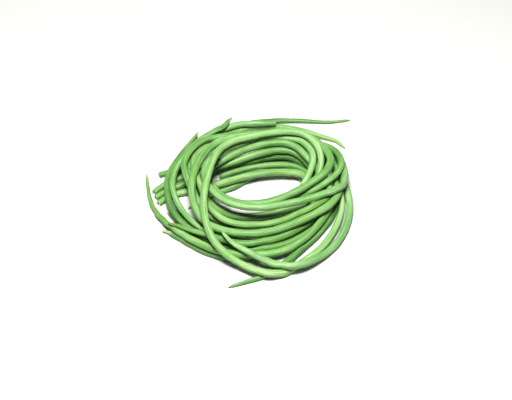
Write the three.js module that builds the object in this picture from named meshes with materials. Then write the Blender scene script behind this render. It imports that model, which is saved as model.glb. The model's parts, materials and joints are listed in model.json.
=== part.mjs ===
// A bunch of yardlong beans, coiled into a loose ring that lies flat on a table.
// Sixteen long thin pods run round the ring, over and under each other, the longest more than
// once round. Each pod is one solid: a cut or stalked stem end, a body that is a little fuller
// over each seed, and a long thin tip. Units are millimetres and +Z is up. The bunch lies on
// z = 0, and the origin is under the middle of its box.

import * as THREE from "three";

// How the lines of the pods are drawn: as an eye sees them from the front, above the table.
const VIEW_RISE = THREE.MathUtils.degToRad(48);
const EYE_DISTANCE = 1500;
const MM_PER_PIXEL = 1.0;
const MIDDLE_PIXEL = { across: 258, down: 201 };

// The body of a pod: its seeds, and how it thins at both ends.
const SEED_PITCH = 24;
const SEED_SWELL = 0.06;
const STEM_TAPER = 60;
const STEM_SHARE = 0.8;
const TIP_THICKNESS = 2.6;
const TIP_POINT = 5;
const TIP_END = 1.3;

// The stem end: a cut face with a slightly worn edge, or a short stalk with a shoulder.
const CUT_EDGE = 4;
const CUT_EDGE_SHARE = 0.95;
const STALK_LENGTH = 7;
const STALK_THICKNESS = 3.4;
const STALK_END = 3.06;
const SHOULDER = 5;

// The skin, in three greens.
const SKIN_COLOURS = { light: 0x9ccb84, mid: 0x7fbf5f, deep: 0x5f9f45 };
const SKIN_ROUGHNESS = 0.45;

// The mesh of a pod: three rings of corners to each seed.
const SIDES = 8;
const RING_STEP = SEED_PITCH / 3;
const CURVE_DIVISIONS = 3000;

// How the pods are settled against each other: lengths in millimetres, and shares for each round.
const BEAD_STEP = 5;
const CLEARANCE = 0.45;
const FLOOR_SHARE = 0.9;
const SETTLE_ROUNDS = 700;
const NEIGHBOUR_ROUNDS = 10;
const NEIGHBOUR_REACH = 5;
const OWN_NEIGHBOURS = 6;
const PARALLEL_LIMIT = 1e-9;
const FIRST_SIZE = 0.2;
const GROWTH = 1.6;
const FADE_END = 0.95;
const FADE_LENGTH = 0.25;
const HOLD_SEEN = 0.12;
const HOLD_DEPTH = 0.01;
const SAG_STEP = 0.04;
const SPREAD = 0.4;
const SPREAD_BEADS = 3;

// Each pod from its stem end to its tip. A stop of a line is [across, down, height]: the pixel of
// the photograph where the pod's middle is seen, and the height of its middle above the table.
const PODS = [
  {
    name: "pod_01",
    thickness: 7.8,
    tip: 60,
    stem: "cut",
    tone: "light",
    line: [
      [312, 187, 14], [318, 176, 21], [321, 163, 28], [317, 147, 33], [303, 134, 36],
      [285, 131.3, 36.5], [266, 133.3, 36.5], [248, 137, 37], [232, 141.5, 38], [220, 149, 39],
      [213, 160, 40], [208, 174, 40], [204.5, 190, 39], [203.5, 205, 37], [206, 222, 32],
      [213, 239, 25], [226, 253.5, 16], [243, 264.5, 10], [261, 271.5, 9.5], [277, 273, 7],
      [290, 269.5, 4.5], [304, 261.3, 4], [319.4, 249.9, 4], [332.7, 232.8, 5], [340.5, 215, 8],
      [343, 200, 11], [342, 188, 12],
    ],
  },
  {
    name: "pod_02",
    thickness: 7.8,
    tip: 55,
    stem: "cut",
    tone: "light",
    line: [
      [203, 161, 4], [214, 152.5, 4.2], [228, 146, 5.5], [245, 141.5, 8], [265, 139.5, 10],
      [285, 141, 11], [305, 145, 14], [320, 149, 16.5], [331, 156, 17.5], [338, 167, 16.5],
      [344, 181, 14], [348, 193, 11.5], [349.5, 208, 7.5], [347, 223, 5], [340, 238.5, 4],
      [330, 249.5, 4.5], [319, 257, 7], [306, 263, 10.5], [293, 266, 12], [280, 265.5, 12],
      [267, 261.5, 12.5], [255, 255.5, 16], [243, 249, 20], [233, 243, 24], [225.5, 236, 27.5],
      [221, 229.5, 30],
    ],
  },
  {
    name: "pod_03",
    thickness: 7.8,
    tip: 70,
    stem: "cut",
    tone: "light",
    line: [
      [293, 199, 14], [298, 193, 18], [303, 185, 22], [309, 174, 26], [313, 161, 29],
      [311, 150, 30], [303, 141.5, 30], [289, 137.5, 29], [270, 137, 29], [251, 140.5, 29.5],
      [235, 146.5, 30.5], [222, 153, 31], [212, 159, 31], [206, 166, 30], [204.5, 175, 30],
      [207, 184, 30], [213, 191, 30], [221, 198, 30.5], [232, 203.5, 31.5], [246, 206.5, 32.5],
      [262, 207, 33], [280, 204.8, 32.5], [300, 201, 30.5], [319, 196, 28], [333, 191, 26],
      [341, 187, 24.5], [343.4, 181, 23.5], [343.3, 173.5, 22], [339.8, 165.4, 19.5], [334, 157, 16.5],
      [326, 151.5, 13], [316, 146, 11], [302, 141, 9], [285, 137.5, 7],
    ],
  },
  {
    name: "pod_04",
    thickness: 7.0,
    tip: 70,
    stem: "cut",
    tone: "mid",
    line: [
      [331, 193, 13.5], [327.5, 199, 15], [319, 204.5, 17], [309, 209.5, 18.5],
      [298, 214, 19.5], [286, 219, 20.5], [268, 223.5, 21], [250, 224.5, 21.5], [234, 223, 22],
      [220, 217, 22.5], [211, 208, 23], [205.5, 198, 24], [201.5, 188, 24], [197.5, 177, 24],
      [193.5, 167, 24], [194.5, 157, 22], [202, 147, 18.5], [211, 139.5, 14], [222, 133.5, 10],
      [236, 129, 6], [250, 126.8, 5], [264, 125.6, 4.5], [280, 126.8, 4.3], [295, 129.2, 4],
      [310, 133.1, 3.5], [324, 137.4, 3], [336, 141, 2.5], [345, 148.5, 2],
    ],
  },
  {
    name: "pod_05",
    thickness: 6.6,
    tip: 130,
    stem: "cut",
    tone: "deep",
    line: [
      [188, 160.5, 4], [194, 150, 4], [205, 139, 4], [220, 131, 4], [235, 127, 4],
      [250, 123.5, 3.7], [275, 121, 3.3], [300, 120.8, 3], [328, 122.2, 2.3], [350, 120, 2],
    ],
  },
  {
    name: "pod_06",
    thickness: 7.2,
    tip: 60,
    stem: "cut",
    tone: "light",
    line: [
      [276, 123.3, 10.5], [260, 124, 11.5], [240, 126, 11], [225, 130.5, 10.5], [211, 138, 10.5],
      [200, 147, 12], [192.5, 157, 14], [189.5, 168, 16], [190.5, 180, 17], [194, 192, 16],
      [199, 204, 13], [206, 215.5, 9.5], [216, 225, 6.5], [228, 230, 5], [245, 232.5, 4.5],
      [262, 232.5, 4.3], [276, 228.5, 4.3], [286, 224, 4.3],
    ],
  },
  {
    name: "pod_07",
    thickness: 8.4,
    tip: 55,
    stem: "cut",
    tone: "mid",
    line: [
      [333, 179, 15], [336, 188, 16.5], [333.5, 197, 18], [325, 205.5, 19.5], [314, 213, 20],
      [300, 220.5, 20.5], [285, 227, 20.5], [268, 232, 21], [250, 233.5, 21.5], [232, 232, 22],
      [220, 229, 22], [209, 224.5, 22.5], [201, 217, 24.5], [195, 206.5, 28], [192, 194, 30.5],
      [192, 182, 32], [194, 172, 32], [199, 161, 32], [207, 150.5, 31], [217, 142.5, 30],
      [228, 138, 29], [240, 135.5, 28.5], [252, 134.6, 28], [268, 133.6, 28], [285, 133, 28.5],
      [300, 134.3, 29.5], [311, 138.3, 30.5], [319.5, 144.2, 31], [327, 152, 31], [330.5, 161, 31],
      [326, 171, 30.5], [316, 179.5, 30], [304, 187.5, 29], [290, 194.5, 28], [275, 200, 27.3],
      [260, 203.3, 27], [245, 203.8, 27], [232, 200.5, 27], [222, 194.5, 27], [215.5, 187.5, 26.5],
      [212.5, 181, 26],
    ],
  },
  {
    name: "pod_08",
    thickness: 7.0,
    tip: 60,
    stem: "cut",
    tone: "mid",
    line: [
      [250, 230, 11], [232, 227.5, 12], [217, 221, 13], [205, 211.5, 15.5], [196.5, 199, 19.5],
      [190.5, 187, 23], [186, 175, 24.5], [184, 164, 24], [189, 153, 22], [201, 143, 18.5],
      [219, 137.5, 17], [240, 137, 18], [262, 137, 19], [283, 138, 20.5], [303, 140.5, 22.5],
      [314, 142.5, 24], [323, 145, 25], [331.5, 148.5, 26], [338.5, 154.5, 27], [341.5, 163, 27.5],
      [338.5, 171.5, 27.5], [331, 178.5, 26.5], [320, 186, 24.5], [307, 192, 22.5],
      [293, 197.5, 20.5], [278, 202, 19], [262, 205, 18.5], [245, 205.5, 18.5], [231, 202, 18.5],
      [222, 196, 18.5],
    ],
  },
  {
    name: "pod_09",
    thickness: 7.6,
    tip: 60,
    stem: "cut",
    tone: "mid",
    line: [
      [152, 193.5, 4], [160, 187.5, 4.3], [169, 182.5, 4.5], [181, 178, 5.5], [195, 173.5, 9],
      [210, 168.5, 13.5], [225, 164, 18], [240, 159, 21.5], [252, 155.5, 23.5], [265, 152, 24.5],
      [278, 150, 24], [291, 151, 22], [301, 156.5, 19], [309, 164, 16], [318, 174, 15],
      [325, 186, 14.5], [326.5, 198, 14], [320, 209, 13], [308, 218, 11.5], [294, 225, 10.5],
      [276, 229.5, 10.5], [258, 231, 10.5], [241, 231, 10.5], [226, 230, 10], [211, 228.5, 9],
      [197, 225, 7], [184, 221.5, 5.5], [174.5, 218.5, 4], [166.8, 212.3, 3],
    ],
  },
  {
    name: "pod_10",
    thickness: 7.4,
    tip: 75,
    stem: "cut",
    tone: "deep",
    line: [
      [159, 175, 4], [170, 172, 4], [184, 169, 4], [198, 167, 4.2], [211, 166.5, 6],
      [224, 165.5, 9.5], [238, 163.5, 13], [252, 160.5, 15.5], [266, 157, 16.5], [279, 155.5, 16.5],
      [291, 157, 14.5], [300, 161.5, 11.5], [310, 168, 8.5], [322, 176, 6], [332, 185, 4.5],
      [338, 194, 4], [337.5, 203, 4], [332, 212.5, 4], [326.2, 222.2, 4], [313.3, 236.9, 4],
      [301.2, 248, 4], [290, 258.8, 3.8], [276, 269, 3.3], [262, 276.6, 3], [246, 281.7, 2.6],
      [228, 287, 2.2],
    ],
  },
  {
    name: "pod_11",
    thickness: 7.0,
    tip: 80,
    stem: "cut",
    tone: "deep",
    line: [
      [220, 176.5, 5], [230, 173, 8], [241, 170, 10.5], [253, 167.3, 12.5], [266, 165.8, 13],
      [280, 165.5, 12.5], [293, 168, 10.5], [304, 174, 9], [312, 183, 8.5], [318, 194, 9],
      [319, 205, 10.5], [313, 216, 12.5], [302, 225.5, 14.5], [289, 233, 15.5], [275, 239, 16],
      [260, 242.8, 16], [246, 244, 16.3], [232, 242, 17], [218, 238, 18], [204, 233.8, 18.5],
      [192, 230.5, 17.5], [180, 227, 14], [168, 223.5, 10],
    ],
  },
  {
    name: "pod_12",
    thickness: 8.2,
    tip: 60,
    stem: "cut",
    tone: "mid",
    line: [
      [158, 203.5, 4.5], [167, 197.5, 4.5], [179, 193, 5], [192, 190, 7], [205, 187, 10],
      [217, 184, 12], [230, 180.5, 12.5], [243, 177, 12.5], [257, 174, 12.3], [272, 172.3, 12],
      [288, 172.3, 11.5], [300, 173.8, 11.5], [308.5, 180.5, 12], [308, 191, 12.5], [306, 199.5, 13],
      [299, 205, 13], [287, 209.4, 13], [272, 213.6, 13], [256, 216.4, 13], [240, 216.4, 13],
      [225, 212.1, 13.5], [213, 204.5, 14.5], [205, 195, 15.5], [200.5, 184, 16], [199, 173, 15],
    ],
  },
  {
    name: "pod_13",
    thickness: 6.8,
    tip: 60,
    stem: "stalk",
    tone: "deep",
    line: [
      [163, 230, 3], [172, 232.5, 3.5], [183, 239, 3.7], [196, 246.8, 3.7], [210, 253.3, 3.7],
      [225, 257.2, 3.7], [241, 257.5, 3.7], [256, 256, 3.7], [270, 251, 3.7], [286, 243, 3.7],
      [300, 233, 3.7], [310, 222, 3.7], [316, 208, 3.7], [315, 195, 3.7], [310, 183, 3.7],
      [301, 174, 3.7], [288, 170, 3.7], [272, 170.5, 3.7], [257, 174, 3.7], [245, 180.5, 3.7],
      [232, 187.5, 3.7], [218, 192, 3.7], [206, 197.5, 3.7], [196, 203.5, 3.5], [188, 208, 3],
    ],
  },
  {
    name: "pod_14",
    thickness: 7.8,
    tip: 140,
    stem: "cut",
    tone: "mid",
    line: [
      [155, 198, 4], [165, 191.5, 5], [180, 185.5, 8], [195, 178.5, 13.5], [209, 168.5, 19.5],
      [222, 159.5, 23.5], [235, 152.5, 26], [250, 147.5, 27.5], [265, 143.8, 28.5],
      [278, 142.5, 28.5], [290, 144, 28], [300, 149.5, 26], [308, 157.5, 23], [315, 167, 20],
      [322, 178, 17.5], [327, 189, 15], [329, 200, 12], [327, 211, 9], [321, 222.5, 6.5],
      [312, 233.5, 5], [302, 241.5, 5], [289, 249, 6], [272, 253.5, 7], [255, 254.5, 7.5],
      [240, 254.5, 8.5], [225, 252.3, 9], [210, 248, 9.5], [196, 242, 9], [182, 235, 7.5],
      [170, 227, 5.5], [160, 217, 4], [153, 206, 2.8], [149.5, 193, 2.5], [147.7, 182, 2.2],
      [147, 174, 2],
    ],
  },
  {
    name: "pod_15",
    thickness: 6.4,
    tip: 60,
    stem: "stalk",
    tone: "light",
    line: [
      [231, 118.5, 12], [225.7, 125.7, 15], [213.6, 131.8, 17], [201.6, 139.3, 18.5],
      [191.6, 147.6, 19.5], [184, 157, 20], [177.5, 166, 19.5], [173.5, 176, 19], [172.5, 186, 18],
      [175, 197, 16.5], [180, 207, 14.5], [188, 217, 12.5], [199, 226, 11], [212, 233, 9],
      [228, 237.5, 7], [245, 240, 5.5], [262, 240, 5], [278, 236.5, 5], [290, 231.5, 5],
    ],
  },
  {
    name: "pod_16",
    thickness: 6.6,
    tip: 60,
    stem: "cut",
    tone: "deep",
    line: [
      [331, 188, 8], [330, 198, 8], [326, 208, 8], [318.5, 219, 8], [307, 231.5, 9], [291, 241, 9],
      [275, 246.5, 9], [258, 249, 9], [240, 248, 9], [222, 244.5, 9], [206, 239, 9.5],
      [192, 230.5, 10], [180, 220.5, 10.5], [172, 209.5, 11.5], [168, 197, 12.5], [167, 184, 12.5],
      [169.5, 173, 11.5], [175.2, 163.5, 10.5], [182.3, 153, 10], [190.3, 142.6, 9.5], [198.3, 132, 9],
    ],
  },
];

// Where the eye is, from the middle of the drawing.
const eye = new THREE.Vector3(0, -Math.cos(VIEW_RISE), Math.sin(VIEW_RISE)).multiplyScalar(EYE_DISTANCE);

// Keeps a value between two limits.
const clamp = THREE.MathUtils.clamp;

// The point of space at a given height that the eye sees at a pixel.
function seenPoint([across, down, height]) {
  const right = (across - MIDDLE_PIXEL.across) * MM_PER_PIXEL;
  const up = (MIDDLE_PIXEL.down - down) * MM_PER_PIXEL;
  const drawn = new THREE.Vector3(right, up * Math.sin(VIEW_RISE), up * Math.cos(VIEW_RISE));
  return eye.clone().lerp(drawn, (height - eye.z) / (drawn.z - eye.z));
}

// The share of a pod's full thickness at a distance from its stem end: it grows from the stem
// end and thins again towards the tip, both along a quarter of a wave.
function thicknessShare(pod, distance) {
  const fromStem = clamp(distance / STEM_TAPER, 0, 1);
  const fromTip = clamp((pod.length - distance) / pod.tip, 0, 1);
  const tipShare = TIP_THICKNESS / pod.thickness;
  const stem = STEM_SHARE + (1 - STEM_SHARE) * Math.sin((fromStem * Math.PI) / 2);
  const tip = tipShare + (1 - tipShare) * Math.sin((fromTip * Math.PI) / 2);
  return stem * tip;
}

// Lays a pod out along its drawn line as beads a short step apart, each with its radius and
// with the direction in which the eye sees it.
function layOut(pod) {
  const curve = new THREE.CatmullRomCurve3(pod.line.map(seenPoint), false, "centripetal");
  curve.arcLengthDivisions = CURVE_DIVISIONS;
  pod.length = curve.getLength();
  const count = Math.round(pod.length / BEAD_STEP);
  pod.drawn = curve.getSpacedPoints(count);
  pod.beads = pod.drawn.map((point) => point.clone());
  pod.sights = pod.drawn.map((point) => point.clone().sub(eye).normalize());
  pod.radii = pod.beads.map((_, i) => (pod.thickness / 2) * thicknessShare(pod, (i / count) * pod.length));
}

// Whether two stretches of pod are near enough to meet. Stretches that follow each other along
// one pod are left out.
function mayMeet(one, other) {
  const sameBend = one.pod === other.pod && Math.abs(one.i - other.i) < OWN_NEIGHBOURS;
  const reach = one.pod.radii[one.i] + other.pod.radii[other.i] + BEAD_STEP + NEIGHBOUR_REACH;
  return !sameBend && one.middle.distanceTo(other.middle) < reach;
}

// Every two stretches that may meet. Space is split into cells as wide as the longest reach, so
// a stretch has to look only into its own cell and those next to it.
function neighbours(pods) {
  const thickest = Math.max(...pods.map((pod) => pod.thickness));
  const cellWidth = thickest + BEAD_STEP + NEIGHBOUR_REACH;
  const cells = new Map();
  const found = [];
  for (const pod of pods) {
    for (let i = 0; i + 1 < pod.beads.length; i++) {
      const middle = pod.beads[i].clone().lerp(pod.beads[i + 1], 0.5);
      const stretch = { pod, i, middle };
      const [x, y, z] = middle.toArray().map((value) => Math.floor(value / cellWidth));
      for (const dx of [-1, 0, 1]) {
        for (const dy of [-1, 0, 1]) {
          for (const dz of [-1, 0, 1]) {
            const there = cells.get(`${x + dx},${y + dy},${z + dz}`) ?? [];
            there.filter((other) => mayMeet(stretch, other)).forEach((other) => found.push([stretch, other]));
          }
        }
      }
      const own = `${x},${y},${z}`;
      cells.set(own, [...(cells.get(own) ?? []), stretch]);
    }
  }
  return found;
}

// Where the stretches a to b and c to d are nearest: the share along each.
const first = new THREE.Vector3();
const second = new THREE.Vector3();
const between = new THREE.Vector3();
function nearest(a, b, c, d) {
  first.subVectors(b, a);
  second.subVectors(d, c);
  between.subVectors(a, c);
  const firstSquare = first.dot(first);
  const secondSquare = second.dot(second);
  const product = first.dot(second);
  const firstReach = first.dot(between);
  const secondReach = second.dot(between);
  const crossing = firstSquare * secondSquare - product * product;
  const sideBySide = crossing <= PARALLEL_LIMIT * firstSquare * secondSquare;
  const crossed = (product * secondReach - firstReach * secondSquare) / crossing;
  const guess = sideBySide ? 0.5 : clamp(crossed, 0, 1);
  const onSecond = clamp((product * guess + secondReach) / secondSquare, 0, 1);
  const onFirst = clamp((product * onSecond - firstReach) / firstSquare, 0, 1);
  return [onFirst, onSecond];
}

// Pushes two stretches apart where they are nearer than their thickness allows.
const here = new THREE.Vector3();
const there = new THREE.Vector3();
const push = new THREE.Vector3();
function pushApart(one, other, grown) {
  const [a, b] = [one.pod.beads[one.i], one.pod.beads[one.i + 1]];
  const [c, d] = [other.pod.beads[other.i], other.pod.beads[other.i + 1]];
  const [s, t] = nearest(a, b, c, d);
  here.lerpVectors(a, b, s);
  there.lerpVectors(c, d, t);
  push.subVectors(here, there);
  const apart = push.length();
  const ownRadius = THREE.MathUtils.lerp(one.pod.radii[one.i], one.pod.radii[one.i + 1], s);
  const otherRadius = THREE.MathUtils.lerp(other.pod.radii[other.i], other.pod.radii[other.i + 1], t);
  const wanted = (ownRadius + otherRadius) * grown + CLEARANCE;
  if (apart >= wanted) return;
  if (apart === 0) push.set(0, 0, 1);
  push.normalize();
  const weight = (1 - s) ** 2 + s ** 2 + (1 - t) ** 2 + t ** 2;
  const step = (wanted - apart) / weight;
  a.addScaledVector(push, step * (1 - s));
  b.addScaledVector(push, step * s);
  c.addScaledVector(push, -step * (1 - t));
  d.addScaledVector(push, -step * t);
}

// Lets a pod bend only gently away from its drawn line: what moves a bead also moves those beside
// it. The pull back to the line is strong across the eye's sight and weak along it, and the pod
// sags a little.
function stiffen(pod, ease) {
  const moved = pod.beads.map((bead, i) => bead.clone().sub(pod.drawn[i]));
  const last = moved.length - 1;
  moved.forEach((own, i) => {
    const before = moved[Math.max(0, i - SPREAD_BEADS)];
    const after = moved[Math.min(last, i + SPREAD_BEADS)];
    const mean = before.clone().lerp(after, 0.5);
    const depth = own.dot(pod.sights[i]);
    pod.beads[i]
      .addScaledVector(mean.sub(own), SPREAD * ease)
      .addScaledVector(own, -HOLD_SEEN * ease)
      .addScaledVector(pod.sights[i], (HOLD_SEEN - HOLD_DEPTH) * depth * ease);
    pod.beads[i].z -= SAG_STEP * ease;
  });
}

// Keeps a pod on the table, where its own weight flattens it a little.
function stand(pod) {
  pod.beads.forEach((bead, i) => {
    bead.z = Math.max(bead.z, pod.radii[i] * FLOOR_SHARE);
  });
}

// Lays the pods against each other. They start thin, where they cross freely, and grow to full
// size. At the end the pull to the drawn lines fades, so that only the contacts are left.
function settle(pods) {
  let pairs = [];
  for (let round = 0; round < SETTLE_ROUNDS; round++) {
    const share = round / SETTLE_ROUNDS;
    const grown = Math.min(1, FIRST_SIZE + share * GROWTH);
    const ease = clamp((FADE_END - share) / FADE_LENGTH, 0, 1);
    if (round % NEIGHBOUR_ROUNDS === 0) pairs = neighbours(pods);
    pods.forEach((pod) => stiffen(pod, ease));
    pairs.forEach(([one, other]) => pushApart(one, other, grown));
    pods.forEach(stand);
  }
}

// The rings of a pod from stem to tip, each as its distance along the pod and its radius.
function stations(pod) {
  const stalked = pod.stem === "stalk";
  const list = stalked
    ? [[0, STALK_END / 2], [STALK_LENGTH, STALK_THICKNESS / 2]]
    : [[0, (pod.thickness / 2) * STEM_SHARE * CUT_EDGE_SHARE]];
  const start = stalked ? STALK_LENGTH + SHOULDER : CUT_EDGE;
  const end = pod.length - TIP_POINT;
  const count = Math.round((end - start) / RING_STEP);
  for (let k = 0; k <= count; k++) {
    const distance = start + ((end - start) * k) / count;
    const betweenSeeds = 0.5 - 0.5 * Math.cos((2 * Math.PI * distance) / SEED_PITCH);
    const swell = 1 - SEED_SWELL * betweenSeeds;
    list.push([distance, (pod.thickness / 2) * thicknessShare(pod, distance) * swell]);
  }
  list.push([pod.length, TIP_END / 2]);
  return list;
}

// The corners of a ring, square to the pod's line. No corner goes below the table.
function ringCorners(centre, along, radius) {
  const up = new THREE.Vector3(0, 0, 1);
  const side = new THREE.Vector3().crossVectors(along, up).normalize();
  const over = new THREE.Vector3().crossVectors(side, along);
  return Array.from({ length: SIDES }, (_, k) => {
    const turn = ((k + 0.5) / SIDES) * 2 * Math.PI;
    const corner = centre.clone();
    corner.addScaledVector(side, radius * Math.cos(turn)).addScaledVector(over, radius * Math.sin(turn));
    corner.z = Math.max(0, corner.z);
    return corner;
  });
}

// The closed solid of a pod: a skin between its rings, and a fan of faces over each end.
function podGeometry(pod) {
  const curve = new THREE.CatmullRomCurve3(pod.beads, false, "centripetal");
  curve.arcLengthDivisions = CURVE_DIVISIONS;
  pod.length = curve.getLength();
  const rings = stations(pod);
  const corners = rings.flatMap(([distance, radius]) => {
    const share = Math.min(1, distance / pod.length);
    return ringCorners(curve.getPointAt(share), curve.getTangentAt(share), radius);
  });
  const stemEnd = corners.length;
  const tipEnd = stemEnd + 1;
  corners.push(curve.getPointAt(0), curve.getPointAt(1));
  const lastRing = (rings.length - 1) * SIDES;
  const faces = [];
  for (let k = 0; k < SIDES; k++) {
    const next = (k + 1) % SIDES;
    faces.push(stemEnd, k, next);
    faces.push(tipEnd, lastRing + next, lastRing + k);
    for (let ring = 0; ring < lastRing; ring += SIDES) {
      const [a, b] = [ring + k, ring + next];
      const [c, d] = [b + SIDES, a + SIDES];
      faces.push(a, d, c, a, c, b);
    }
  }
  const geometry = new THREE.BufferGeometry().setFromPoints(corners);
  geometry.setIndex(faces);
  geometry.computeVertexNormals();
  return geometry;
}

PODS.forEach(layOut);
settle(PODS);

// One solid for each pod.
const bunch = new THREE.Group();
for (const pod of PODS) {
  const color = SKIN_COLOURS[pod.tone];
  const skin = new THREE.MeshStandardMaterial({ color, roughness: SKIN_ROUGHNESS, metalness: 0 });
  const mesh = new THREE.Mesh(podGeometry(pod), skin);
  mesh.name = pod.name;
  bunch.add(mesh);
}

// The origin goes under the middle of the bunch's box.
const box = new THREE.Box3().setFromObject(bunch);
const middle = box.getCenter(new THREE.Vector3());
for (const mesh of bunch.children) {
  mesh.position.set(-middle.x, -middle.y, -box.min.z);
}

export default bunch;
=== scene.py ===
# %% [markdown]
# # A coiled bunch of yardlong beans
# The real thing is a loose coil of sixteen long bean pods, picked young, wound round and over each
# other and laid on a table. Each pod is as thick as a pencil and up to half a metre long. Nothing
# holds the bunch: the pods rest on each other and on the table.
#
# The lines of the pods are settled already, in the CAD model that this script loads as its frame.
# What is left to make is what the eye enjoys: the round, slightly swollen bodies, the seams,
# wrinkles and streaks of the skin, the cut ends, the stalks and the olive tips.

# %% Load the frame
import json
import math
import bmesh
import bpy
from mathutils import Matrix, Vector


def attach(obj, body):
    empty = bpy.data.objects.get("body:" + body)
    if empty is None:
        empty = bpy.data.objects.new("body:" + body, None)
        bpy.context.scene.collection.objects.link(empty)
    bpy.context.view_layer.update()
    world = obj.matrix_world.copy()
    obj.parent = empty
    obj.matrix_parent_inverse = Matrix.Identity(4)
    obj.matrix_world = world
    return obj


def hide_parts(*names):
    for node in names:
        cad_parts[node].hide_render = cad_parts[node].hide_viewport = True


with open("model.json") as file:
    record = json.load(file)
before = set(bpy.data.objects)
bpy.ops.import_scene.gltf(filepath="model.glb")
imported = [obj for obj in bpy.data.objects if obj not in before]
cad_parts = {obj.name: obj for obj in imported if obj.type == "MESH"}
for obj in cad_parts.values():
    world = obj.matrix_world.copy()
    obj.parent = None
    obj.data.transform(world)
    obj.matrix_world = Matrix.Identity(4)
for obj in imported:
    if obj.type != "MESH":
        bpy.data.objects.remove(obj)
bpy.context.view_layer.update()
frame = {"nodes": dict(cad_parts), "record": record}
pods = frame["nodes"]
print("pods in the frame:", len(pods))

# %% [markdown]
# ## The camera
# The photograph was taken from the front and well above the table. The camera goes where the
# photographer stood, before anything is made, because it decides how fine the detail has to be.
# One pixel of the photograph is one millimetre at the coil's middle, so 1.5 m away that asks for a
# lens of about 105 mm. The coil's middle isn't quite in the middle of the picture. The camera could
# be turned to it, but that would tilt the view, so the lens is shifted a little instead.

# %% Place the camera
MM = 0.001
IMAGE = (512, 400)
MIDDLE_PIXEL = (258, 201)
MIDDLE = Vector((8.4, -0.9, 0)) * MM
VIEW_RISE = math.radians(48)
EYE_DISTANCE = 1500 * MM
SENSOR_WIDTH = 36

camera_data = bpy.data.cameras.new("camera")
camera_data.sensor_width = SENSOR_WIDTH
camera_data.lens = SENSOR_WIDTH * EYE_DISTANCE / (IMAGE[0] * MM)
camera_data.shift_x = (IMAGE[0] / 2 - MIDDLE_PIXEL[0]) / IMAGE[0]
camera_data.shift_y = (MIDDLE_PIXEL[1] - IMAGE[1] / 2) / IMAGE[0]
camera = bpy.data.objects.new("camera", camera_data)
camera.location = MIDDLE + EYE_DISTANCE * Vector((0, -math.cos(VIEW_RISE), math.sin(VIEW_RISE)))
camera.rotation_euler = (math.pi / 2 - VIEW_RISE, 0, 0)
bpy.context.collection.objects.link(camera)
bpy.context.scene.camera = camera
print("lens in mm:", round(camera_data.lens, 1))

# %% [markdown]
# ## One way to add a node
# Both the shapes and the skins below are node trees. A tree is easier to read when each node is one
# call that says what it is, how it is set, and what goes into it. What goes in is either a number
# or the socket of an earlier node.


# %% A node in one call
def add_node(tree, kind, settings=None, inputs=None):
    """Adds a node, sets it up and fills or links its inputs, by name or by number."""
    node = tree.nodes.new(kind)
    for name, value in (settings or {}).items():
        setattr(node, name, value)
    for name, value in (inputs or {}).items():
        socket = node.inputs[name]
        if isinstance(value, bpy.types.NodeSocket):
            tree.links.new(value, socket)
        else:
            socket.default_value = value
    return node


# %% [markdown]
# ## Reading a pod's line
# Every pod of the frame is a chain of eight-cornered rings with a fan of faces over each end. The
# middle point of each fan is the only kind of corner where eight edges meet. Starting from one of
# them and walking outwards, edge by edge, gives the rings in order. The middle of a ring is a point
# of the pod's line, and the distance of its corners is the pod's radius there. The stem end is the
# end whose ring is wider. Typing the lines in again would work too, but then the fine pods and the
# solids could drift apart.

# %% Rings of a pod, from stem to tip
RING_CORNERS = 8


def walk_from(pole):
    """The corners of a pod in order of their distance from one of its ends, ring by ring."""
    rings = [[pole]]
    seen = {pole}
    while rings[-1]:
        front = []
        for corner in rings[-1]:
            for edge in corner.link_edges:
                other = edge.other_vert(corner)
                if other not in seen:
                    seen.add(other)
                    front.append(other)
        rings.append(front)
    return rings[:-1]


def read_line(node):
    """The line of a pod as (point, radius), from its stem end to its tip."""
    shell = bmesh.new()
    shell.from_mesh(node.data)
    bmesh.ops.remove_doubles(shell, verts=shell.verts, dist=1e-6)
    pole = next(corner for corner in shell.verts if len(corner.link_edges) == RING_CORNERS)
    line = []
    for ring in walk_from(pole)[1:-1]:
        middle = sum((corner.co for corner in ring), Vector()) / len(ring)
        radius = max((corner.co - middle).length for corner in ring)
        line.append((middle, radius))
    shell.free()
    if line[0][1] < line[-1][1]:
        line.reverse()
    return line


lines = {name: read_line(node) for name, node in pods.items()}
for name, line in lines.items():
    length = sum((b[0] - a[0]).length for a, b in zip(line, line[1:]))
    print(name, "rings", len(line), "length", round(1000 * length), "mm")

# %% [markdown]
# ## From rings to a real pod
# The eight-cornered rings are good enough to hold and to drop, but a bean pod is round, and its
# ends have a shape of their own. So the line of each pod gets a few more stops at its ends, as
# shares of the radius there. A cut end has a sharp, slightly drawn-in edge. A stalk has a small
# swollen collar where it meets the pod, which is where the flower sat. A tip narrows to a blunt
# beak.

# %% End shapes
ROUND_SHARE = 0.955
CUT_STOPS = [(0, 0.93), (0.7 * MM, 1.0)]
STALK_RADIUS_LIMIT = 2 * MM
STALK_STOPS = [(0, 0.9), (1.5 * MM, 1.0), (5.2 * MM, 0.92), (6.4 * MM, 1.25), (7.6 * MM, 1.5),
               (8.6 * MM, 1.35)]
BEAK_STOPS = [(2.5 * MM, 1.1), (1.2 * MM, 1.05), (0.4 * MM, 0.85), (0, 0.45)]


def point_along(line, distance):
    """The point and radius at a distance along a line of rings."""
    for (here, radius), (there, next_radius) in zip(line, line[1:]):
        step = (there - here).length
        if distance <= step:
            share = distance / step
            return here.lerp(there, share), radius + (next_radius - radius) * share
        distance -= step
    return line[-1]


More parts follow.
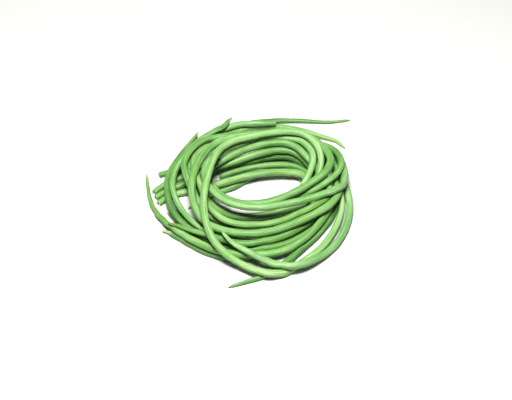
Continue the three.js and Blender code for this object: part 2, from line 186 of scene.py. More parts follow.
def shape_ends(line):
    """The line with its stem end and its beak worked out."""
    stalked = line[0][1] < STALK_RADIUS_LIMIT
    stem_radius = line[0][1]
    tip_radius = line[-1][1]
    stops = STALK_STOPS if stalked else CUT_STOPS
    first_kept = 2 if stalked else 1
    stem = [(point_along(line, distance)[0], share * stem_radius) for distance, share in stops]
    backwards = line[::-1]
    beak = [(point_along(backwards, distance)[0], share * tip_radius) for distance, share in BEAK_STOPS]
    return stem + line[first_kept:-1] + beak


print("stops of the first pod:", len(lines["pod_01"]), "to", len(shape_ends(lines["pod_01"])))

# %% [markdown]
# ## The pod as a tree of Geometry Nodes
# A pod follows a path and repeats its seeds. It could be modelled straight and bent by a curve
# modifier, but sixteen pods would then need sixteen models. Geometry Nodes do it with one tree. The
# tree lays a smooth curve through the stops, sweeps a circle along it, and then works on the
# surface in the pod's own straightened space, as if the pod had been pulled straight on the bench:
# x and y across, z along, all in millimetres. There a seed is a soft bump every 24 mm, a seam is a
# shallow groove all along one side, and a wrinkle is a faint ripple across. The skins further down
# read the same straightened space, so their streaks follow every bend.

# %% Start the tree, with its inputs
pod_tree = bpy.data.node_groups.new("pod", "GeometryNodeTree")
pod_tree.interface.new_socket("Pod", in_out="OUTPUT", socket_type="NodeSocketGeometry")
INPUTS = {
    "Line": "NodeSocketGeometry",
    "Ring Step": "NodeSocketFloat",
    "Sides": "NodeSocketInt",
    "Seed Pitch": "NodeSocketFloat",
    "Seed Swell": "NodeSocketFloat",
    "Seam Depth": "NodeSocketFloat",
    "Wrinkle Depth": "NodeSocketFloat",
    "Hollow Share": "NodeSocketFloat",
    "Hollow Depth": "NodeSocketFloat",
    "Pod Number": "NodeSocketInt",
    "Ripeness": "NodeSocketFloat",
    "Skin": "NodeSocketMaterial",
    "Flesh": "NodeSocketMaterial",
    "Hollow": "NodeSocketMaterial",
}
for title, kind in INPUTS.items():
    pod_tree.interface.new_socket(title, in_out="INPUT", socket_type=kind)
given = pod_tree.nodes.new("NodeGroupInput").outputs
print("inputs of the tree:", len(INPUTS))

# %% The curve and its measures
to_curve = add_node(pod_tree, "GeometryNodeMeshToCurve", {}, {"Mesh": given["Line"]})
smooth_line = add_node(pod_tree, "GeometryNodeCurveSplineType", {"spline_type": "CATMULL_ROM"},
                       {"Curve": to_curve.outputs["Curve"]})
steps = add_node(pod_tree, "GeometryNodeResampleCurve", {"mode": "LENGTH"},
                 {"Curve": smooth_line.outputs["Curve"], "Length": given["Ring Step"]})
here = add_node(pod_tree, "GeometryNodeSplineParameter")
whole = add_node(pod_tree, "GeometryNodeSplineLength")
left = add_node(pod_tree, "ShaderNodeMath", {"operation": "SUBTRACT"},
                {0: whole.outputs["Length"], 1: here.outputs["Length"]})
from_stem = add_node(pod_tree, "ShaderNodeMath", {"operation": "DIVIDE"},
                     {0: here.outputs["Length"], 1: MM})
from_tip = add_node(pod_tree, "ShaderNodeMath", {"operation": "DIVIDE"},
                    {0: left.outputs[0], 1: MM})
ends = add_node(pod_tree, "ShaderNodeCombineXYZ", {},
                {"X": from_stem.outputs[0], "Y": from_tip.outputs[0], "Z": given["Pod Number"]})
line_with_ends = add_node(pod_tree, "GeometryNodeStoreNamedAttribute", {"data_type": "FLOAT_VECTOR"},
                          {"Geometry": steps.outputs["Curve"], "Name": "ends",
                           "Value": ends.outputs[0]})
print("nodes that measure the line:", len(pod_tree.nodes) - 1)

# %% The sweep
circle = add_node(pod_tree, "GeometryNodeCurvePrimitiveCircle", {},
                  {"Resolution": given["Sides"], "Radius": 1})
turn = add_node(pod_tree, "GeometryNodeSplineParameter")
circle_with_turn = add_node(pod_tree, "GeometryNodeStoreNamedAttribute", {},
                            {"Geometry": circle.outputs["Curve"], "Name": "turn",
                             "Value": turn.outputs["Factor"]})
pod_radius = add_node(pod_tree, "GeometryNodeInputNamedAttribute", {}, {"Name": "pod_radius"})
sweep = add_node(pod_tree, "GeometryNodeCurveToMesh", {},
                 {"Curve": line_with_ends.outputs["Geometry"],
                  "Profile Curve": circle_with_turn.outputs["Geometry"],
                  "Scale": pod_radius.outputs["Attribute"], "Fill Caps": True})
print("the sweep reads the radius from:", pod_radius.inputs["Name"].default_value)

# %% The straightened space of a pod
turned = add_node(pod_tree, "GeometryNodeInputNamedAttribute", {}, {"Name": "turn"})
angle = add_node(pod_tree, "ShaderNodeMath", {"operation": "MULTIPLY"},
                 {0: turned.outputs["Attribute"], 1: 2 * math.pi})
across = add_node(pod_tree, "ShaderNodeMath", {"operation": "COSINE"}, {0: angle.outputs[0]})
over = add_node(pod_tree, "ShaderNodeMath", {"operation": "SINE"}, {0: angle.outputs[0]})
radius_mm = add_node(pod_tree, "ShaderNodeMath", {"operation": "DIVIDE"},
                     {0: pod_radius.outputs["Attribute"], 1: MM})
section = add_node(pod_tree, "ShaderNodeCombineXYZ", {},
                   {"X": across.outputs[0], "Y": over.outputs[0]})
section_mm = add_node(pod_tree, "ShaderNodeVectorMath", {"operation": "SCALE"},
                      {0: section.outputs[0], "Scale": radius_mm.outputs[0]})
read_ends = add_node(pod_tree, "GeometryNodeInputNamedAttribute", {"data_type": "FLOAT_VECTOR"},
                     {"Name": "ends"})
split_ends = add_node(pod_tree, "ShaderNodeSeparateXYZ", {}, {0: read_ends.outputs["Attribute"]})
along = add_node(pod_tree, "ShaderNodeCombineXYZ", {}, {"Z": split_ends.outputs["X"]})
straight = add_node(pod_tree, "ShaderNodeVectorMath", {"operation": "ADD"},
                    {0: section_mm.outputs[0], 1: along.outputs[0]})
with_space = add_node(pod_tree, "GeometryNodeStoreNamedAttribute", {"data_type": "FLOAT_VECTOR"},
                      {"Geometry": sweep.outputs["Mesh"], "Name": "straight",
                       "Value": straight.outputs[0]})
with_ripeness = add_node(pod_tree, "GeometryNodeStoreNamedAttribute", {},
                         {"Geometry": with_space.outputs["Geometry"], "Name": "ripeness",
                          "Value": given["Ripeness"]})
print("nodes so far:", len(pod_tree.nodes))

# %% [markdown]
# ## Seeds, seams and wrinkles
# Three small heights are added up and the surface is moved along its normal by the sum. The seeds
# don't all swell alike, so a slow noise along the pod, with a grain of one seed, decides how much.
# The seam is where the two halves of the pod meet, and it lies where y is nought on the side of
# positive x. Across from it, where x is negative, the same line stands up as a low rib, the pod's
# back. The wrinkles are a noise that changes faster along the pod than round it. A bump in the
# material alone would be cheaper, but the outline would stay as smooth as a hose.

# %% A pattern of its own for each pod
SHAPE_SHIFT = 137.0
NOISE_RANGE = (0.3, 0.7)

number_shift = add_node(pod_tree, "ShaderNodeMath", {"operation": "MULTIPLY"},
                        {0: given["Pod Number"], 1: SHAPE_SHIFT})
own_place = add_node(pod_tree, "ShaderNodeCombineXYZ", {}, {"X": number_shift.outputs[0]})
own_space = add_node(pod_tree, "ShaderNodeVectorMath", {"operation": "ADD"},
                     {0: straight.outputs[0], 1: own_place.outputs[0]})
print("shift between the shapes of two pods in mm:", SHAPE_SHIFT)

# %% Seeds
seed_grain = add_node(pod_tree, "ShaderNodeMath", {"operation": "DIVIDE"},
                      {0: 1.0, 1: given["Seed Pitch"]})
swelling = add_node(pod_tree, "ShaderNodeTexNoise", {},
                    {"Vector": own_space.outputs[0], "Scale": seed_grain.outputs[0], "Detail": 1.0})
swell_share = add_node(pod_tree, "ShaderNodeMapRange", {},
                       {"Value": swelling.outputs["Fac"], "From Min": NOISE_RANGE[0],
                        "From Max": NOISE_RANGE[1], "To Min": -1, "To Max": 1})
swell_size = add_node(pod_tree, "ShaderNodeMath", {"operation": "MULTIPLY"},
                      {0: given["Seed Swell"], 1: pod_radius.outputs["Attribute"]})
swell = add_node(pod_tree, "ShaderNodeMath", {"operation": "MULTIPLY"},
                 {0: swell_share.outputs["Result"], 1: swell_size.outputs[0]})
print("nodes so far:", len(pod_tree.nodes))

# %% Seam and back
SEAM_WIDTH = (0.2, 1.0)

split_straight = add_node(pod_tree, "ShaderNodeSeparateXYZ", {}, {0: straight.outputs[0]})
from_seam = add_node(pod_tree, "ShaderNodeMath", {"operation": "ABSOLUTE"},
                     {0: split_straight.outputs["Y"]})
on_seam = add_node(pod_tree, "ShaderNodeMapRange", {"interpolation_type": "SMOOTHSTEP"},
                   {"Value": from_seam.outputs[0], "From Min": SEAM_WIDTH[0],
                    "From Max": SEAM_WIDTH[1], "To Min": 1, "To Max": 0})
seam_side = add_node(pod_tree, "ShaderNodeMath", {"operation": "SIGN"},
                     {0: split_straight.outputs["X"]})
seam_share = add_node(pod_tree, "ShaderNodeMath", {"operation": "MULTIPLY"},
                      {0: on_seam.outputs["Result"], 1: seam_side.outputs[0]})
seam = add_node(pod_tree, "ShaderNodeMath", {"operation": "MULTIPLY"},
                {0: seam_share.outputs[0], 1: given["Seam Depth"]})
print("the groove of the seam is", 2 * SEAM_WIDTH[1], "mm wide")

# %% Wrinkles
WRINKLE_GRAIN = (0.22, 0.22, 0.55)

wrinkle_space = add_node(pod_tree, "ShaderNodeVectorMath", {"operation": "MULTIPLY"},
                         {0: own_space.outputs[0], 1: WRINKLE_GRAIN})
ripples = add_node(pod_tree, "ShaderNodeTexNoise", {},
                   {"Vector": wrinkle_space.outputs[0], "Scale": 1.0, "Detail": 2.0, "Roughness": 0.55})
ripple_share = add_node(pod_tree, "ShaderNodeMapRange", {},
                        {"Value": ripples.outputs["Fac"], "From Min": NOISE_RANGE[0],
                         "From Max": NOISE_RANGE[1], "To Min": -1, "To Max": 1})
wrinkle = add_node(pod_tree, "ShaderNodeMath", {"operation": "MULTIPLY"},
                   {0: ripple_share.outputs["Result"], 1: given["Wrinkle Depth"]})
print("wrinkles in mm, round and along:", [round(1 / WRINKLE_GRAIN[i], 1) for i in (0, 2)])

# %% Their sum, and the moved surface
bumps = add_node(pod_tree, "ShaderNodeMath", {"operation": "ADD"},
                 {0: swell.outputs[0], 1: wrinkle.outputs[0]})
height = add_node(pod_tree, "ShaderNodeMath", {"operation": "SUBTRACT"},
                  {0: bumps.outputs[0], 1: seam.outputs[0]})
outwards = add_node(pod_tree, "GeometryNodeInputNormal")
offset = add_node(pod_tree, "ShaderNodeVectorMath", {"operation": "SCALE"},
                  {0: outwards.outputs[0], "Scale": height.outputs[0]})
swollen = add_node(pod_tree, "GeometryNodeSetPosition", {},
                   {"Geometry": with_ripeness.outputs["Geometry"], "Offset": offset.outputs[0]})
print("nodes so far:", len(pod_tree.nodes))

# %% [markdown]
# ## Where it lies on the table
# The lowest pod is pressed a little flat by the weight of the others. Corners that would reach below
# the table are lifted to it, which is all that pressing does here.

# %% Flat where it lies on the table
place = add_node(pod_tree, "GeometryNodeInputPosition")
split_place = add_node(pod_tree, "ShaderNodeSeparateXYZ", {}, {0: place.outputs[0]})
above_table = add_node(pod_tree, "ShaderNodeMath", {"operation": "MAXIMUM"},
                       {0: split_place.outputs["Z"], 1: 0.0})
lifted = add_node(pod_tree, "ShaderNodeCombineXYZ", {},
                  {"X": split_place.outputs["X"], "Y": split_place.outputs["Y"],
                   "Z": above_table.outputs[0]})
surface = add_node(pod_tree, "GeometryNodeSetPosition", {},
                   {"Geometry": swollen.outputs["Geometry"], "Position": lifted.outputs[0]})
print("nodes so far:", len(pod_tree.nodes))

# %% [markdown]
# ## The cut end
# A cut pod shows a pale ring of flesh round a small hollow. The sweep has closed its ends with one
# many-sided face each, so those two faces are the ones with more than four corners, and the stem
# end's is the one at distance nought. It is inset by extruding it on the spot and scaling the new
# face, and that face is then pushed into the pod to make the hollow. A cutter and a Boolean would
# do the same, but more slowly, and it would have to be aimed at each cut end.

# %% Find the cut end
SIDE_CORNERS = 4
NEAR_STEM = 0.5

corner_count = add_node(pod_tree, "GeometryNodeInputMeshFaceNeighbors")
is_cap = add_node(pod_tree, "FunctionNodeCompare", {"data_type": "INT", "operation": "GREATER_THAN"},
                  {"A": corner_count.outputs["Vertex Count"], "B": SIDE_CORNERS})
at_stem = add_node(pod_tree, "FunctionNodeCompare", {"operation": "LESS_THAN"},
                   {"A": split_ends.outputs["X"], "B": NEAR_STEM})
is_cut = add_node(pod_tree, "FunctionNodeBooleanMath", {"operation": "AND"},
                  {0: is_cap.outputs[0], 1: at_stem.outputs[0]})
with_skin = add_node(pod_tree, "GeometryNodeSetMaterial", {},
                     {"Geometry": surface.outputs["Geometry"], "Material": given["Skin"]})
with_flesh = add_node(pod_tree, "GeometryNodeSetMaterial", {},
                      {"Geometry": with_skin.outputs["Geometry"], "Selection": is_cut.outputs[0],
                       "Material": given["Flesh"]})
print("a cut end has more than", SIDE_CORNERS, "corners and lies within", NEAR_STEM, "mm of the stem")

# %% The hollow in the cut end
inset = add_node(pod_tree, "GeometryNodeExtrudeMesh", {"mode": "FACES"},
                 {"Mesh": with_flesh.outputs["Geometry"], "Selection": is_cut.outputs[0],
                  "Offset Scale": 0.0})
ring = add_node(pod_tree, "GeometryNodeScaleElements", {},
                {"Geometry": inset.outputs["Mesh"], "Selection": inset.outputs["Top"],
                 "Scale": given["Hollow Share"]})
inwards = add_node(pod_tree, "ShaderNodeMath", {"operation": "MULTIPLY"},
                   {0: given["Hollow Depth"], 1: -1.0})
hollow = add_node(pod_tree, "GeometryNodeExtrudeMesh", {"mode": "FACES"},
                  {"Mesh": ring.outputs["Geometry"], "Selection": inset.outputs["Top"],
                   "Offset Scale": inwards.outputs[0]})
in_hollow = add_node(pod_tree, "FunctionNodeBooleanMath", {"operation": "OR"},
                     {0: hollow.outputs["Top"], 1: hollow.outputs["Side"]})
with_hollow = add_node(pod_tree, "GeometryNodeSetMaterial", {},
                       {"Geometry": hollow.outputs["Mesh"], "Selection": in_hollow.outputs[0],
                        "Material": given["Hollow"]})
smooth = add_node(pod_tree, "GeometryNodeSetShadeSmooth", {},
                  {"Geometry": with_hollow.outputs["Geometry"], "Shade Smooth": True})
real = add_node(pod_tree, "GeometryNodeRealizeInstances", {}, {0: smooth.outputs["Geometry"]})
add_node(pod_tree, "NodeGroupOutput", {}, {"Pod": real.outputs[0]})
print("nodes in all:", len(pod_tree.nodes))

# %% [markdown]
# ## Colours as the eye gives them
# A colour that is given as a hex value is in sRGB, but the shaders work in linear light. One function
# turns the one into the other, so that every colour below can stay the hex value that one would pick.


# %% From sRGB to linear
def linear(hex_colour):
    """An sRGB colour such as "7FBF5F" as linear red, green, blue and alpha."""
    channels = [int(hex_colour[i:i + 2], 16) / 255 for i in (0, 2, 4)]
    return [c / 12.92 if c <= 0.04045 else ((c + 0.055) / 1.055) ** 2.4 for c in channels] + [1.0]


print("a mid green in linear light:", [round(channel, 3) for channel in linear("7FBF5F")])

# %% [markdown]
# ## The skin of a fresh pod
# The skin of a bean pod is a thin waxy cuticle over green flesh. Wax gives it a satin gloss, the
# fibres under it show as fine streaks along the pod, a millimetre wide and a few centimetres long,
# and the green shifts slowly from one stretch to the next. No two pods are quite the same green.
# Towards the tip the skin turns olive and then yellowish, and a stalk is paler. Near the stem end the
# skin is painted a deeper green, as painted shade for the cut stubs that lie under the pods above.
# Light goes a little way into the flesh, which softens the shadows.
#
# A painted picture wrapped round each pod would do too, but it would smear at the ends and blur up
# close. Noise needs no picture and stays sharp. All patterns are laid out in the straightened space
# that the tree has stored, so a streak follows its pod round every bend. Each function below lays
# one layer over the colour so far and returns the new colour.

# %% A bare material, and the place on the pod
SKIN_SHIFT = 61.0


def bare_material(name):
    """A new material whose node tree is still empty, and that tree."""
    material = bpy.data.materials.new(name)
    material.use_nodes = True
    material.node_tree.nodes.clear()
    return material, material.node_tree


def read_place(tree):
    """The place on the straightened pod, the stored ends, and the place in the pod's own pattern."""
    space = add_node(tree, "ShaderNodeAttribute", {"attribute_name": "straight"})
    pod_ends = add_node(tree, "ShaderNodeAttribute", {"attribute_name": "ends"})
    measures = add_node(tree, "ShaderNodeSeparateXYZ", {}, {0: pod_ends.outputs["Vector"]})
    shift = add_node(tree, "ShaderNodeMath", {"operation": "MULTIPLY"},
                     {0: measures.outputs["Z"], 1: SKIN_SHIFT})
    shift_across = add_node(tree, "ShaderNodeCombineXYZ", {}, {"X": shift.outputs[0]})
    own = add_node(tree, "ShaderNodeVectorMath", {"operation": "ADD"},
                   {0: space.outputs["Vector"], 1: shift_across.outputs[0]})
    return space.outputs["Vector"], measures.outputs, own.outputs[0]


print("shift between the patterns of two pods in mm:", SKIN_SHIFT)

# %% Slow clouds of two greens
CLOUD_GRAIN = (0.10, 0.10, 0.025)
CLOUD_RANGE = (0.32, 0.68)


def with_clouds(tree, own, fresh, shaded):
    """Two greens that change slowly from one stretch of the pod to the next."""
    cloud_space = add_node(tree, "ShaderNodeVectorMath", {"operation": "MULTIPLY"},
                           {0: own, 1: CLOUD_GRAIN})
    clouds = add_node(tree, "ShaderNodeTexNoise", {},
                      {"Vector": cloud_space.outputs[0], "Scale": 1.0, "Detail": 3.0})
    share = add_node(tree, "ShaderNodeMapRange", {},
                     {"Value": clouds.outputs["Fac"], "From Min": CLOUD_RANGE[0],
                      "From Max": CLOUD_RANGE[1]})
    greens = add_node(tree, "ShaderNodeMix", {"data_type": "RGBA"},
                      {0: share.outputs["Result"], 6: linear(shaded), 7: linear(fresh)})
    return greens.outputs[2]


print("clouds in mm, across and along:", [round(1 / CLOUD_GRAIN[i]) for i in (0, 2)])

# %% Pale fibres and dark lines along the pod
STREAK_GRAIN = (0.85, 0.85, 0.03)
STREAK_RANGE = (0.46, 0.72)
STREAK_SHARE = 0.55
LINE_GRAIN = (1.3, 1.3, 0.02)
LINE_RANGE = (0.54, 0.68)
LINE_SHARE = 0.6


def fibre_pattern(tree, own):
    """The height of the fibres under the skin, which colour and relief share."""
    streak_space = add_node(tree, "ShaderNodeVectorMath", {"operation": "MULTIPLY"},
                            {0: own, 1: STREAK_GRAIN})
    fibres = add_node(tree, "ShaderNodeTexNoise", {},
                      {"Vector": streak_space.outputs[0], "Scale": 1.0, "Detail": 4.0,
                       "Roughness": 0.6})
    return fibres.outputs["Fac"]


def with_fibres(tree, colour, fibres, streak):
    """The colour with the paler streaks of the fibres."""
    share = add_node(tree, "ShaderNodeMapRange", {},
                     {"Value": fibres, "From Min": STREAK_RANGE[0], "From Max": STREAK_RANGE[1],
                      "To Max": STREAK_SHARE})
    streaked = add_node(tree, "ShaderNodeMix", {"data_type": "RGBA"},
                        {0: share.outputs["Result"], 6: colour, 7: linear(streak)})
    return streaked.outputs[2]


def with_lines(tree, colour, own, groove):
    """The colour with thin dark lines between the fibres."""
    line_space = add_node(tree, "ShaderNodeVectorMath", {"operation": "MULTIPLY"},
                          {0: own, 1: LINE_GRAIN})
    lines_along = add_node(tree, "ShaderNodeTexNoise", {},
                           {"Vector": line_space.outputs[0], "Scale": 1.0, "Detail": 2.0})
    share = add_node(tree, "ShaderNodeMapRange", {},
                     {"Value": lines_along.outputs["Fac"], "From Min": LINE_RANGE[0],
                      "From Max": LINE_RANGE[1], "To Max": LINE_SHARE})
    lined = add_node(tree, "ShaderNodeMix", {"data_type": "RGBA"},
                     {0: share.outputs["Result"], 6: colour, 7: linear(groove)})
    return lined.outputs[2]


print("streaks in mm, across and along:", [round(1 / STREAK_GRAIN[i], 1) for i in (0, 2)])

# %% The dark line of the seam
SEAM_LINE = (0.15, 0.7)
SEAM_SHARE = 0.45


def with_seam(tree, colour, space, groove):
    """The colour with a thin dark line where the two halves of the pod meet."""
    sides = add_node(tree, "ShaderNodeSeparateXYZ", {}, {0: space})
    beside_seam = add_node(tree, "ShaderNodeMath", {"operation": "ABSOLUTE"}, {0: sides.outputs["Y"]})
    share = add_node(tree, "ShaderNodeMapRange", {"interpolation_type": "SMOOTHSTEP"},
                     {"Value": beside_seam.outputs[0], "From Min": SEAM_LINE[0],
                      "From Max": SEAM_LINE[1], "To Min": SEAM_SHARE, "To Max": 0.0})
    seamed = add_node(tree, "ShaderNodeMix", {"data_type": "RGBA"},
                      {0: share.outputs["Result"], 6: colour, 7: linear(groove)})
    return seamed.outputs[2]


print("width of the seam's line in mm:", 2 * SEAM_LINE[1])

# %% Ripe tip, painted shade at the stem end, and pale stalk
RIPE_REACH = (2.0, 40.0)
# Painted shade: the skin near every stem end is mixed towards a deeper green, standing in for the
# shadow on the cut stubs.
STEM_SHADE_REACH = (4.0, 24.0)
STEM_SHADE_SHARE = 0.5
STEM_SHADE_GREEN = "4F8135"
STALK_GIRTH = (1.8, 2.5)
STALK_LENGTH = 10.0
STALK_SHARE = 0.8
STALK_GREEN = "9EAF6D"


def with_ripe_tip(tree, colour, measures, tip):
    """The colour with the olive or yellowish tip, as strong as the pod is ripe."""
    ripeness = add_node(tree, "ShaderNodeAttribute", {"attribute_name": "ripeness"})
    share = add_node(tree, "ShaderNodeMapRange", {"interpolation_type": "SMOOTHSTEP"},
                     {"Value": measures["Y"], "From Min": RIPE_REACH[0], "From Max": RIPE_REACH[1],
                      "To Min": ripeness.outputs["Fac"], "To Max": 0.0})
    ripened = add_node(tree, "ShaderNodeMix", {"data_type": "RGBA"},
                       {0: share.outputs["Result"], 6: colour, 7: linear(tip)})
    return ripened.outputs[2]


def with_painted_shade_at_stem(tree, colour, measures):
    """The colour with painted shade near the stem end: a deeper green for the shadow on the cut stubs.
    """
    share = add_node(tree, "ShaderNodeMapRange", {"interpolation_type": "SMOOTHSTEP"},
                     {"Value": measures["X"], "From Min": STEM_SHADE_REACH[0], "From Max": STEM_SHADE_REACH[1],
                      "To Min": STEM_SHADE_SHARE, "To Max": 0.0})
    stem_in_painted_shade = add_node(tree, "ShaderNodeMix", {"data_type": "RGBA"},
                        {0: share.outputs["Result"], 6: colour, 7: linear(STEM_SHADE_GREEN)})
    return stem_in_painted_shade.outputs[2]


def with_stalk(tree, colour, space, measures):
    """The colour with a pale stalk, which is where the pod is thin and its stem end is near."""
    flat = add_node(tree, "ShaderNodeVectorMath", {"operation": "MULTIPLY"},
                    {0: space, 1: (1.0, 1.0, 0.0)})
    girth = add_node(tree, "ShaderNodeVectorMath", {"operation": "LENGTH"}, {0: flat.outputs[0]})
    thin = add_node(tree, "ShaderNodeMapRange", {},
                    {"Value": girth.outputs["Value"], "From Min": STALK_GIRTH[0],
                     "From Max": STALK_GIRTH[1], "To Min": STALK_SHARE, "To Max": 0.0})
    by_stem = add_node(tree, "ShaderNodeMath", {"operation": "LESS_THAN"},
                       {0: measures["X"], 1: STALK_LENGTH})
    share = add_node(tree, "ShaderNodeMath", {"operation": "MULTIPLY"},
                     {0: thin.outputs["Result"], 1: by_stem.outputs[0]})
    stalked = add_node(tree, "ShaderNodeMix", {"data_type": "RGBA"},
                       {0: share.outputs[0], 6: colour, 7: linear(STALK_GREEN)})
    return stalked.outputs[2]


print("a ripe tip reaches", RIPE_REACH[1], "mm, a green stem end", STEM_SHADE_REACH[1], "mm")

# %% A green of its own for each pod
OWN_HUES = (0.496, 0.514)
OWN_VALUES = (1.08, 0.90)


def with_own_green(tree, colour, measures):
    """The colour turned a little towards yellow or blue, and made lighter or darker, pod by pod."""
    drawn = add_node(tree, "ShaderNodeTexWhiteNoise", {"noise_dimensions": "1D"}, {"W": measures["Z"]})
    hue = add_node(tree, "ShaderNodeMapRange", {},
                   {"Value": drawn.outputs["Value"], "To Min": OWN_HUES[0], "To Max": OWN_HUES[1]})
    value = add_node(tree, "ShaderNodeMapRange", {},
                     {"Value": drawn.outputs["Value"], "To Min": OWN_VALUES[0],
                      "To Max": OWN_VALUES[1]})
    turned_green = add_node(tree, "ShaderNodeHueSaturation", {},
                            {"Hue": hue.outputs["Result"], "Value": value.outputs["Result"],
                             "Color": colour})
    return turned_green.outputs["Color"]


print("hues from", OWN_HUES[0], "to", OWN_HUES[1], "where 0.5 keeps the colour")

# %% Waxy pod skin
PIMPLE_GRAIN = (0.45, 0.45, 0.9)
RELIEF_STRENGTH = 0.75
RELIEF_HEIGHT = 0.45 * MM
SKIN_ROUGHNESS = (0.50, 0.62)
SKIN_IOR = 1.42
FLESH_GLOW = {
    "Subsurface Weight": 0.05,
    "Subsurface Radius": (0.7, 1.0, 0.35),
    "Subsurface Scale": 1.0 * MM,
}
WAX = {"Coat Weight": 0.35, "Coat Roughness": 0.6}


def pod_skin(name, fresh, shaded, streak, groove, tip):
    """The skin of a bean pod: two greens, the colours of its fibres and grooves, and of a ripe tip."""
    material, tree = bare_material(name)
    space, measures, own = read_place(tree)
    fibres = fibre_pattern(tree, own)
    colour = with_clouds(tree, own, fresh, shaded)
    colour = with_fibres(tree, colour, fibres, streak)
    colour = with_lines(tree, colour, own, groove)
    colour = with_seam(tree, colour, space, groove)
    colour = with_ripe_tip(tree, colour, measures, tip)
    colour = with_painted_shade_at_stem(tree, colour, measures)
    colour = with_stalk(tree, colour, space, measures)
    colour = with_own_green(tree, colour, measures)

    pimple_space = add_node(tree, "ShaderNodeVectorMath", {"operation": "MULTIPLY"},
                            {0: own, 1: PIMPLE_GRAIN})
    pimples = add_node(tree, "ShaderNodeTexNoise", {},
                       {"Vector": pimple_space.outputs[0], "Scale": 1.0, "Detail": 2.0})
    relief = add_node(tree, "ShaderNodeMath", {"operation": "ADD"},
                      {0: fibres, 1: pimples.outputs["Fac"]})
    bump = add_node(tree, "ShaderNodeBump", {},
                    {"Strength": RELIEF_STRENGTH, "Distance": RELIEF_HEIGHT,
                     "Height": relief.outputs[0]})
    gloss = add_node(tree, "ShaderNodeMapRange", {},
                     {"Value": pimples.outputs["Fac"], "From Min": NOISE_RANGE[0],
                      "From Max": NOISE_RANGE[1], "To Min": SKIN_ROUGHNESS[0],
                      "To Max": SKIN_ROUGHNESS[1]})
    surface_of_skin = {"Base Color": colour, "Roughness": gloss.outputs["Result"], "IOR": SKIN_IOR,
                       "Normal": bump.outputs["Normal"]}
    shader = add_node(tree, "ShaderNodeBsdfPrincipled", {}, surface_of_skin | FLESH_GLOW | WAX)
    add_node(tree, "ShaderNodeOutputMaterial", {}, {"Surface": shader.outputs["BSDF"]})
    return material


SKINS = {
    "pod_skin_light": pod_skin("waxy_pod_skin_light", "7CA25E", "578A38", "ABC59C", "245809", "8E9F51"),
    "pod_skin_mid": pod_skin("waxy_pod_skin_mid", "6B9649", "467A24", "99B884", "1A4E06", "839848"),
    "pod_skin_deep": pod_skin("waxy_pod_skin_deep", "588737", "386B18", "86A86F", "144304", "788C3E"),
}
print("skins:", list(SKINS), "with", len(SKINS["pod_skin_light"].node_tree.nodes), "nodes each")

# %% [markdown]
# ## Cut flesh
# Where a pod was cut, its flesh shows. It is pale green-white and damp while it is fresh, and gets
# darker and duller as it dries. A noise with a grain of under a millimetre mixes two colours of it
# and roughens it a little. The hollow of the oldest cut is painted dark brown, nearly black: partly
# browned flesh, and partly painted shade for the depth of the hole.

# %% Pale flesh and dark hollow
FLESH_GRAIN = 0.8 * MM
FLESH_RELIEF_STRENGTH = 0.4
FLESH_RELIEF_HEIGHT = 0.2 * MM
FLESH_IOR = 1.36


def cut_flesh(name, pale, dry, roughness):
    """The flesh inside a bean pod, from its pale colour to its drier colour."""
    material, tree = bare_material(name)
    coordinates = add_node(tree, "ShaderNodeTexCoord")
    grain = add_node(tree, "ShaderNodeTexNoise", {},
                     {"Vector": coordinates.outputs["Object"], "Scale": 1 / FLESH_GRAIN, "Detail": 2.0})
    colour = add_node(tree, "ShaderNodeMix", {"data_type": "RGBA"},
                      {0: grain.outputs["Fac"], 6: linear(pale), 7: linear(dry)})
    bump = add_node(tree, "ShaderNodeBump", {},
                    {"Strength": FLESH_RELIEF_STRENGTH, "Distance": FLESH_RELIEF_HEIGHT,
                     "Height": grain.outputs["Fac"]})
    shader = add_node(tree, "ShaderNodeBsdfPrincipled", {},
                      {"Base Color": colour.outputs[2], "Roughness": roughness, "IOR": FLESH_IOR,
                       "Normal": bump.outputs["Normal"]})
    add_node(tree, "ShaderNodeOutputMaterial", {}, {"Surface": shader.outputs["BSDF"]})
    return material


PALE_FLESH = cut_flesh("cut_pod_flesh_fresh", "F0F6DE", "D2E0B0", 0.5)
DRY_FLESH = cut_flesh("cut_pod_flesh_dry", "A4BA80", "7E9A58", 0.6)
GREEN_HOLLOW = cut_flesh("cut_pod_hollow_green", "A9C07A", "7F9A50", 0.6)
# Partly browned flesh, partly painted shade: the nearly black inside of the open cut's hollow.
BROWN_HOLLOW_AND_PAINTED_SHADE = cut_flesh("cut_pod_hollow_brown_and_painted_shade", "2E2C18", "16160C", 0.9)
print("flesh:", PALE_FLESH.name, DRY_FLESH.name, GREEN_HOLLOW.name, BROWN_HOLLOW_AND_PAINTED_SHADE.name)

# %% [markdown]
# ## Making the pods
# Each pod's line becomes a chain of corners that carries its radius as an attribute. The tree is
# put on it as a modifier, with its inputs set by their identifiers, and evaluated. The result is
# kept as a plain mesh on an object at the origin, so that the picture shows exactly these faces.
# That object takes the place of the pod's eight-cornered solid, which stays in the physics.
# All pods share one set of sizes. Only the ripeness of the tips, and the one open cut, are given
# pod by pod, as the photograph shows them.

# %% Sizes that all pods share
POD_SIZES = {
    "Ring Step": 0.9 * MM,
    "Sides": 36,
    "Seed Pitch": 24.0,
    "Seed Swell": 0.035,
    "Seam Depth": 0.16 * MM,
    "Wrinkle Depth": 0.13 * MM,
    "Hollow Share": 0.34,
    "Hollow Depth": 1.5 * MM,
}
RIPE_TIPS = {"pod_04": 0.3, "pod_05": 0.5, "pod_11": 0.25, "pod_13": 0.8, "pod_14": 0.35, "pod_16": 0.3}
YOUNG_TIP = 0.15
OPEN_CUTS = {
    "pod_12": {"Hollow Share": 0.46, "Hollow Depth": 4 * MM, "Hollow": BROWN_HOLLOW_AND_PAINTED_SHADE,
               "Flesh": PALE_FLESH},
}
SLOTS = {entry["node"]: entry["material_slot"] for entry in frame["record"]["subparts"]}
print("pods with an open cut:", list(OPEN_CUTS))


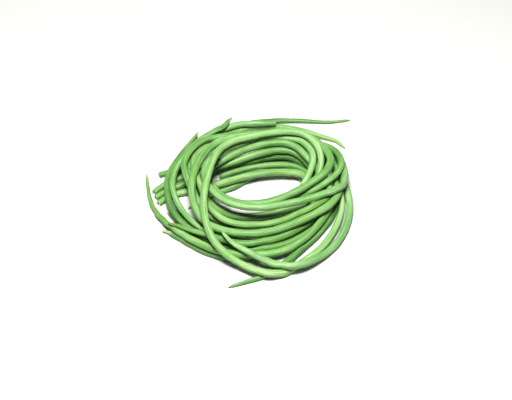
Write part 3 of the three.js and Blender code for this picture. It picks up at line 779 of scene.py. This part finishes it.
# %% One pod
def set_inputs(modifier, values):
    """Sets a modifier's inputs by their identifiers."""
    for item in modifier.node_group.interface.items_tree:
        if item.item_type == "SOCKET" and item.in_out == "INPUT" and item.name in values:
            modifier[item.identifier] = values[item.name]


def line_mesh(name, line):
    """A chain of corners through the stops of a line, with each stop's radius."""
    mesh = bpy.data.meshes.new(name)
    mesh.from_pydata([point for point, _ in line], [(i, i + 1) for i in range(len(line) - 1)], [])
    radii = mesh.attributes.new("pod_radius", "FLOAT", "POINT")
    radii.data.foreach_set("value", [radius * ROUND_SHARE for _, radius in line])
    return mesh


def make_pod(name, number):
    """The finished pod that stands for a node of the frame."""
    line = line_mesh(name + "_line", shape_ends(lines[name]))
    drawn = bpy.data.objects.new("fine_" + name, line)
    bpy.context.collection.objects.link(drawn)
    modifier = drawn.modifiers.new("pod", "NODES")
    modifier.node_group = pod_tree
    looks = {"Skin": SKINS[SLOTS[name]], "Flesh": DRY_FLESH, "Hollow": GREEN_HOLLOW,
             "Pod Number": number, "Ripeness": RIPE_TIPS.get(name, YOUNG_TIP)}
    set_inputs(modifier, POD_SIZES | looks | OPEN_CUTS.get(name, {}))
    evaluated = drawn.evaluated_get(bpy.context.evaluated_depsgraph_get())
    finished = bpy.data.meshes.new_from_object(evaluated)
    drawn.modifiers.clear()
    drawn.data = finished
    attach(drawn, "root")
    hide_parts(name)
    return drawn


# %% All sixteen
fine_pods = [make_pod(name, number) for number, name in enumerate(pods, start=1)]
triangles = sum(len(face.vertices) - 2 for pod in fine_pods for face in pod.data.polygons)
print("pods made:", len(fine_pods), "triangles:", triangles)

# %% [markdown]
# ## The table and the light
# The photograph has a white ground and a soft light from above, a little from the front, so that
# the tops of the pods shine and the gaps between them go nearly black. A sky all round would fill
# those gaps with light. So a soft lamp above does most of it, a weak one from the camera's side
# opens the shadows a little, and a dim pale world fills in the rest. The floor is a plain pale
# sheet, which isn't part of the object.


# %% Floor
FLOOR_HALF = 3.0
PAPER_COLOUR = "BEBEBA"
PAPER_ROUGHNESS = 0.9


def pale_paper():
    """Plain matte paper, whose grain is too fine to see from here."""
    material = bpy.data.materials.new("pale_paper")
    material.use_nodes = True
    shader = material.node_tree.nodes["Principled BSDF"]
    shader.inputs["Base Color"].default_value = linear(PAPER_COLOUR)
    shader.inputs["Roughness"].default_value = PAPER_ROUGHNESS
    return material


floor_mesh = bpy.data.meshes.new("floor")
corners = [(-FLOOR_HALF, -FLOOR_HALF, 0), (FLOOR_HALF, -FLOOR_HALF, 0), (FLOOR_HALF, FLOOR_HALF, 0),
           (-FLOOR_HALF, FLOOR_HALF, 0)]
floor_mesh.from_pydata(corners, [], [(0, 1, 2, 3)])
floor_mesh.materials.append(pale_paper())
floor = bpy.data.objects.new("floor", floor_mesh)
bpy.context.collection.objects.link(floor)
print("floor in m:", 2 * FLOOR_HALF, "each way")


# %% Lamps
def soft_lamp(name, place, size, power):
    """A square lamp that points at the middle of the coil."""
    data = bpy.data.lights.new(name, "AREA")
    data.size = size
    data.energy = power
    lamp = bpy.data.objects.new(name, data)
    lamp.location = place
    lamp.rotation_euler = (MIDDLE - lamp.location).to_track_quat("-Z", "Y").to_euler()
    bpy.context.collection.objects.link(lamp)
    return lamp


soft_lamp("lamp_above", place=Vector((-0.05, -0.30, 1.27)), size=0.36, power=44)
soft_lamp("lamp_front", place=Vector((-0.4, -1.2, 0.8)), size=0.4, power=1.6)

# %% World
WORLD_COLOUR = "F4F7F8"
WORLD_STRENGTH = 0.02

world = bpy.data.worlds.new("pale world")
world.use_nodes = True
background = world.node_tree.nodes["Background"]
background.inputs["Color"].default_value = linear(WORLD_COLOUR)
background.inputs["Strength"].default_value = WORLD_STRENGTH
bpy.context.scene.world = world
bpy.context.scene.view_settings.view_transform = "Standard"
print("strength of the world's light:", WORLD_STRENGTH)
